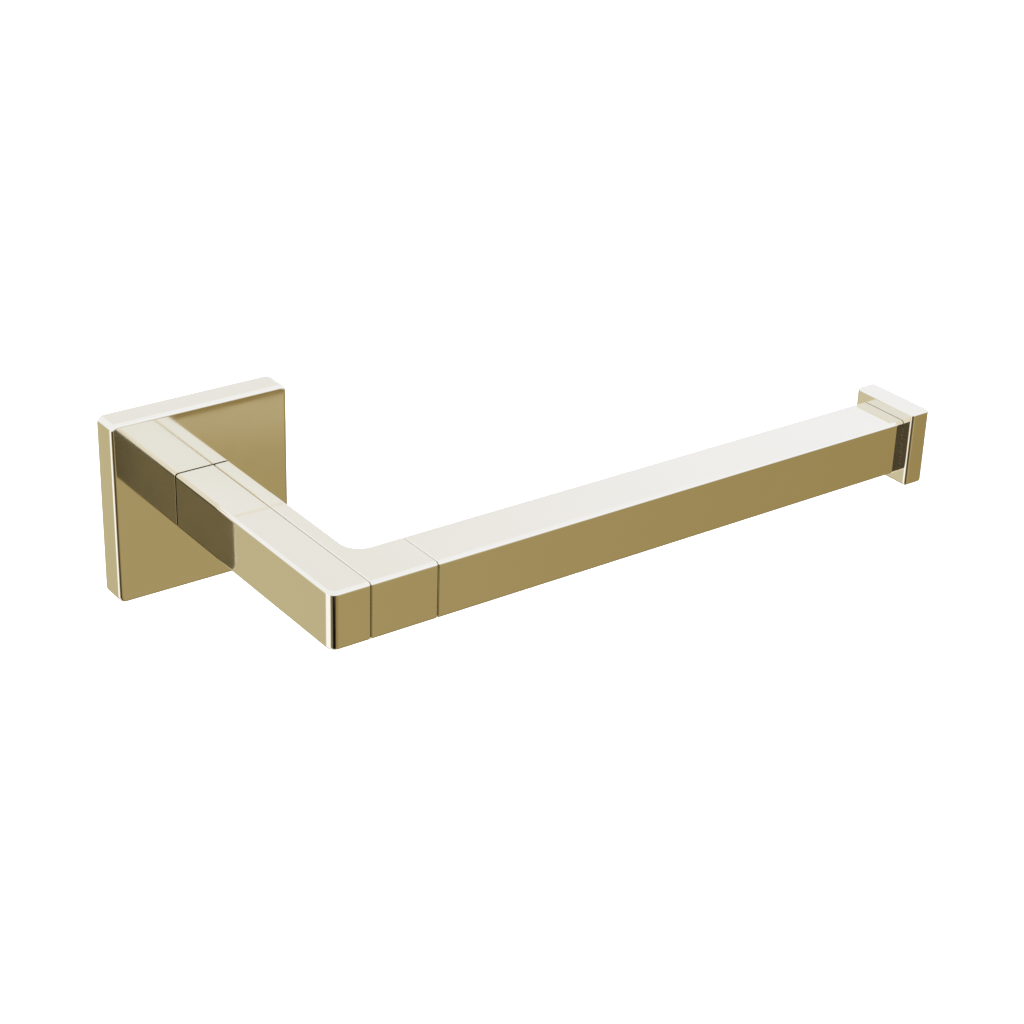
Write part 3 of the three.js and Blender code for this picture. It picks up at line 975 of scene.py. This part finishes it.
# From left to right, low round the holder: each colour takes over between its two azimuths.
LOW_CARDS = (
    (PALE_LEFT, -148, -135),
    (WINDOW, -132, -126),
    (WARM_GAP, -73, -69),
    (BROWN, -52, -48),
    (DARK, -45, -42),
    (CARD_EDGE, -21, -9),
    (CARD_FRONT, -5, 27),
    (CARD_FRONT_FAR, 25, 52),
    (BEHIND_RIGHT, 75, 100),
)

# Each pair is where a smooth step starts and where it is full. HORIZON and the names that end in FOOT, TOP
# or RISE are elevations, the others azimuths. Each group of three is a band: its two azimuths and the width
# of its soft edges.
DARK_CORE_BAND = (-31, -25, 2)
DARK_CORE_FOOT = (-29, -28.5)
CARD_TOP_LEFT = (5, 20)
CARD_TOP_RIGHT = (38, 31)
CARD_TOP_FOOT = (-25.35, -24.05)
CEILING_LEFT_BAND = (-141, -115, 8)
CEILING_FRONT_BAND = (0, 60, 10)
CEILING_FRONT_RISE = (25.3, 26.9)
CEILING_FOOT = (20, 23.5)
CEILING_TOP = (31, 29.5)
CEILING_BACK_SIDE = (100, 120)
CEILING_BACK_TURN = (134, 151)
CEILING_BACK_FOOT = (12, 18)
CEILING_BACK_TOP = (40, 34)
HORIZON = (-10, 4)

BACKDROP_STRENGTH = 1
FLOOR_DROP = 0.25
FLOOR_HALF = 3.0
FLOOR_COLOUR = (0.9, 0.9, 0.9, 1)
FLOOR_ROUGHNESS = 0.9
WHITE = (1, 1, 1, 1)


def make_world():
    """Light painted by direction, with a plain white backdrop for the camera itself.

    The ceiling is bright, warm cards stand low in front, a window on the left, and a dark gap between.
    """
    world = bpy.data.worlds.new("studio")
    bpy.context.scene.world = world
    world.use_nodes = True
    nodes, links = world.node_tree.nodes, world.node_tree.links
    direction = nodes.new("ShaderNodeTexCoord").outputs["Generated"]
    split = nodes.new("ShaderNodeSeparateXYZ")
    links.new(direction, split.inputs["Vector"])
    x, y, z = (split.outputs[k] for k in "XYZ")
    outward = add_math(nodes, links, "MULTIPLY", y, -1)
    to_degrees = 180 / math.pi
    azimuth = add_math(nodes, links, "MULTIPLY", add_math(nodes, links, "ARCTAN2", x, outward), to_degrees)
    elevation = add_math(nodes, links, "MULTIPLY", add_math(nodes, links, "ARCSINE", z), to_degrees)

    def step(value, start, end):
        return add_step(nodes, links, value, start, end)

    def both(first, second):
        return add_math(nodes, links, "MULTIPLY", first, second)

    def paint(under, colour, mask):
        return add_layer(nodes, links, under, colour, mask)

    def band(start, end, soft):
        """1 between two azimuths, with a soft edge of the given width at each."""
        half = soft / 2
        return both(step(azimuth, start - half, start + half), step(azimuth, end + half, end - half))

    low_light = BEHIND_LEFT
    for colour, start, full in LOW_CARDS:
        low_light = paint(low_light, colour, step(azimuth, start, full))
    dark_core = both(band(*DARK_CORE_BAND), step(elevation, *DARK_CORE_FOOT))
    low_light = paint(low_light, DARK_CORE, dark_core)
    card_sides = both(step(azimuth, *CARD_TOP_LEFT), step(azimuth, *CARD_TOP_RIGHT))
    card_top = both(card_sides, step(elevation, *CARD_TOP_FOOT))
    low_light = paint(low_light, CARD_TOP, card_top)

    ceiling = both(step(elevation, *CEILING_FOOT), step(elevation, *CEILING_TOP))
    front = paint(CEILING_FRONT, CEILING_FRONT_HIGH, step(elevation, *CEILING_FRONT_RISE))
    back = paint(CEILING_BACK_RIGHT, CEILING_BACK, step(azimuth, *CEILING_BACK_TURN))
    back_mask = both(step(elevation, *CEILING_BACK_FOOT), step(elevation, *CEILING_BACK_TOP))
    high_light = paint(ZENITH, CEILING_LEFT, both(band(*CEILING_LEFT_BAND), ceiling))
    high_light = paint(high_light, front, both(band(*CEILING_FRONT_BAND), ceiling))
    high_light = paint(high_light, back, both(step(azimuth, *CEILING_BACK_SIDE), back_mask))
    light = paint(low_light, high_light, step(elevation, *HORIZON))

    lit, plain = nodes["Background"], nodes.new("ShaderNodeBackground")
    links.new(light, lit.inputs["Color"])
    plain.inputs["Color"].default_value = WHITE
    plain.inputs["Strength"].default_value = BACKDROP_STRENGTH
    choose = nodes.new("ShaderNodeMixShader")
    links.new(nodes.new("ShaderNodeLightPath").outputs["Is Camera Ray"], choose.inputs["Fac"])
    links.new(lit.outputs["Background"], choose.inputs[1])
    links.new(plain.outputs["Background"], choose.inputs[2])
    links.new(choose.outputs["Shader"], nodes["World Output"].inputs["Surface"])


def make_floor():
    """A plain white floor some way below the holder, as bright as the backdrop behind it."""
    bm = bmesh.new()
    corners = [(-1, -1), (1, -1), (1, 1), (-1, 1)]
    bm.faces.new([bm.verts.new((x * FLOOR_HALF, y * FLOOR_HALF, -FLOOR_DROP)) for x, y in corners])
    floor = to_object("floor", bm)
    material, _, _, shader = new_material("floor_white")
    shader.inputs["Base Color"].default_value = FLOOR_COLOUR
    shader.inputs["Roughness"].default_value = FLOOR_ROUGHNESS
    shader.inputs["Emission Color"].default_value = WHITE
    shader.inputs["Emission Strength"].default_value = BACKDROP_STRENGTH
    floor.data.materials.append(material)
    floor.visible_glossy = False
    floor.visible_diffuse = False


make_world()
make_floor()
bpy.context.scene.view_settings.view_transform = "Standard"
